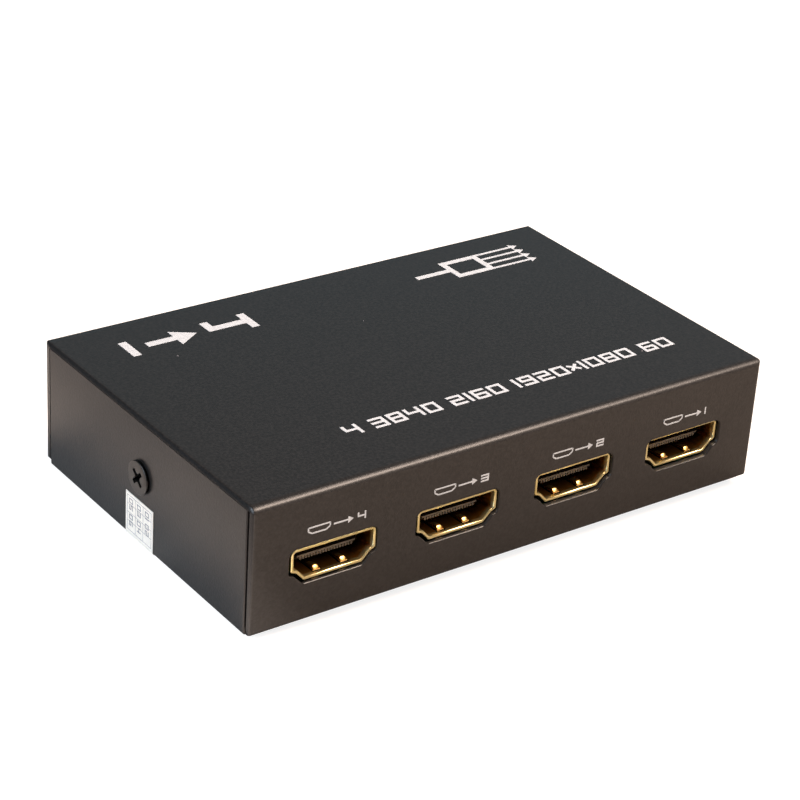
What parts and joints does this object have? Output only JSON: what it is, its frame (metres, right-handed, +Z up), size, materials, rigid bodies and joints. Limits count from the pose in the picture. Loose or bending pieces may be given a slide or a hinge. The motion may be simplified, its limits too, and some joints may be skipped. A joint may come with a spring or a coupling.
{
  "type": "video signal splitter",
  "caption": "Flat folded-steel video splitter box with a row of output sockets on the front, input, power socket and slide switch on the back, circuit board inside.",
  "frame": {"origin": "on the surface that the feet stand on, under the middle of the whole object's box (side screw heads and switch knob included)", "axes": "+X to the right seen from the output sockets' side, along the long side; +Y from the output sockets to the back; +Z up"},
  "size_m": [0.0982, 0.0624, 0.0233],
  "materials": {
    "cover_paint": "black powder coat, fine texture",
    "black_screw": "black oxide, semi-gloss",
    "label_paper": "matt white label stock",
    "foot_rubber": "matt black",
    "shell_metal": "bright plated",
    "insulator_plastic": "moulded, satin",
    "contact_metal": "gold plated",
    "board_laminate": "green solder mask",
    "steel": "plain steel",
    "socket_plastic": "moulded, matt",
    "tinned_metal": "tinned",
    "lamp_lens": "tinted, translucent",
    "holder_plastic": "moulded, matt",
    "chip_epoxy": "moulded, matt",
    "pad_rubber": "soft, matt grey",
    "sink_aluminium": "black anodised",
    "can_aluminium": "bright drawn",
    "ceramic_body": "fired, matt"
  },
  "bodies": {
    "housing": {"board_screws": "steel", "board_standoffs": "steel", "bottom_tray": "cover_paint", "capacitor_bases": "socket_plastic", "capacitor_cans": "can_aluminium", "chip_capacitors": "ceramic_body", "chip_resistors": "chip_epoxy", "clock_crystal": "can_aluminium", "cover_bracket_left": "cover_paint", "cover_bracket_right": "cover_paint", "foot_back_left": "foot_rubber", "foot_back_right": "foot_rubber", "foot_front_left": "foot_rubber", "foot_front_right": "foot_rubber", "fuse": "ceramic_body", "guard_chips": "chip_epoxy", "heat_sink": "sink_aluminium", "input_contacts": "contact_metal", "input_insulator": "insulator_plastic", "input_shell": "shell_metal", "inspection_label": "label_paper", "lamp_holder": "holder_plastic", "lamp_leads": "tinned_metal", "main_board": "board_laminate", "main_chip": "chip_epoxy", "main_chip_leads": "tinned_metal", "memory_chips": "chip_epoxy", "output_1_contacts": "contact_metal", "output_1_insulator": "insulator_plastic", "output_1_shell": "shell_metal", "output_2_contacts": "contact_metal", "output_2_insulator": "insulator_plastic", "output_2_shell": "shell_metal", "output_3_contacts": "contact_metal", "output_3_insulator": "insulator_plastic", "output_3_shell": "shell_metal", "output_4_contacts": "contact_metal", "output_4_insulator": "insulator_plastic", "output_4_shell": "shell_metal", "power_coils": "chip_epoxy", "power_socket_body": "socket_plastic", "power_socket_contacts": "tinned_metal", "power_socket_pin": "tinned_metal", "regulator_leads": "tinned_metal", "regulators": "chip_epoxy", "side_screw_left": "black_screw", "side_screw_right": "black_screw", "status_lamps": "lamp_lens", "switch_base": "chip_epoxy", "switch_frame": "tinned_metal", "switch_pins": "tinned_metal", "thermal_pad": "pad_rubber", "top_cover": "cover_paint"},
    "power_slider": {"switch_slider": "socket_plastic"}
  },
  "joints": [
    {"name": "power_slide", "type": "slide", "parent": "housing", "child": "power_slider", "axis": [1, 0, 0], "range_m": [0, 0.0026]}
  ]
}
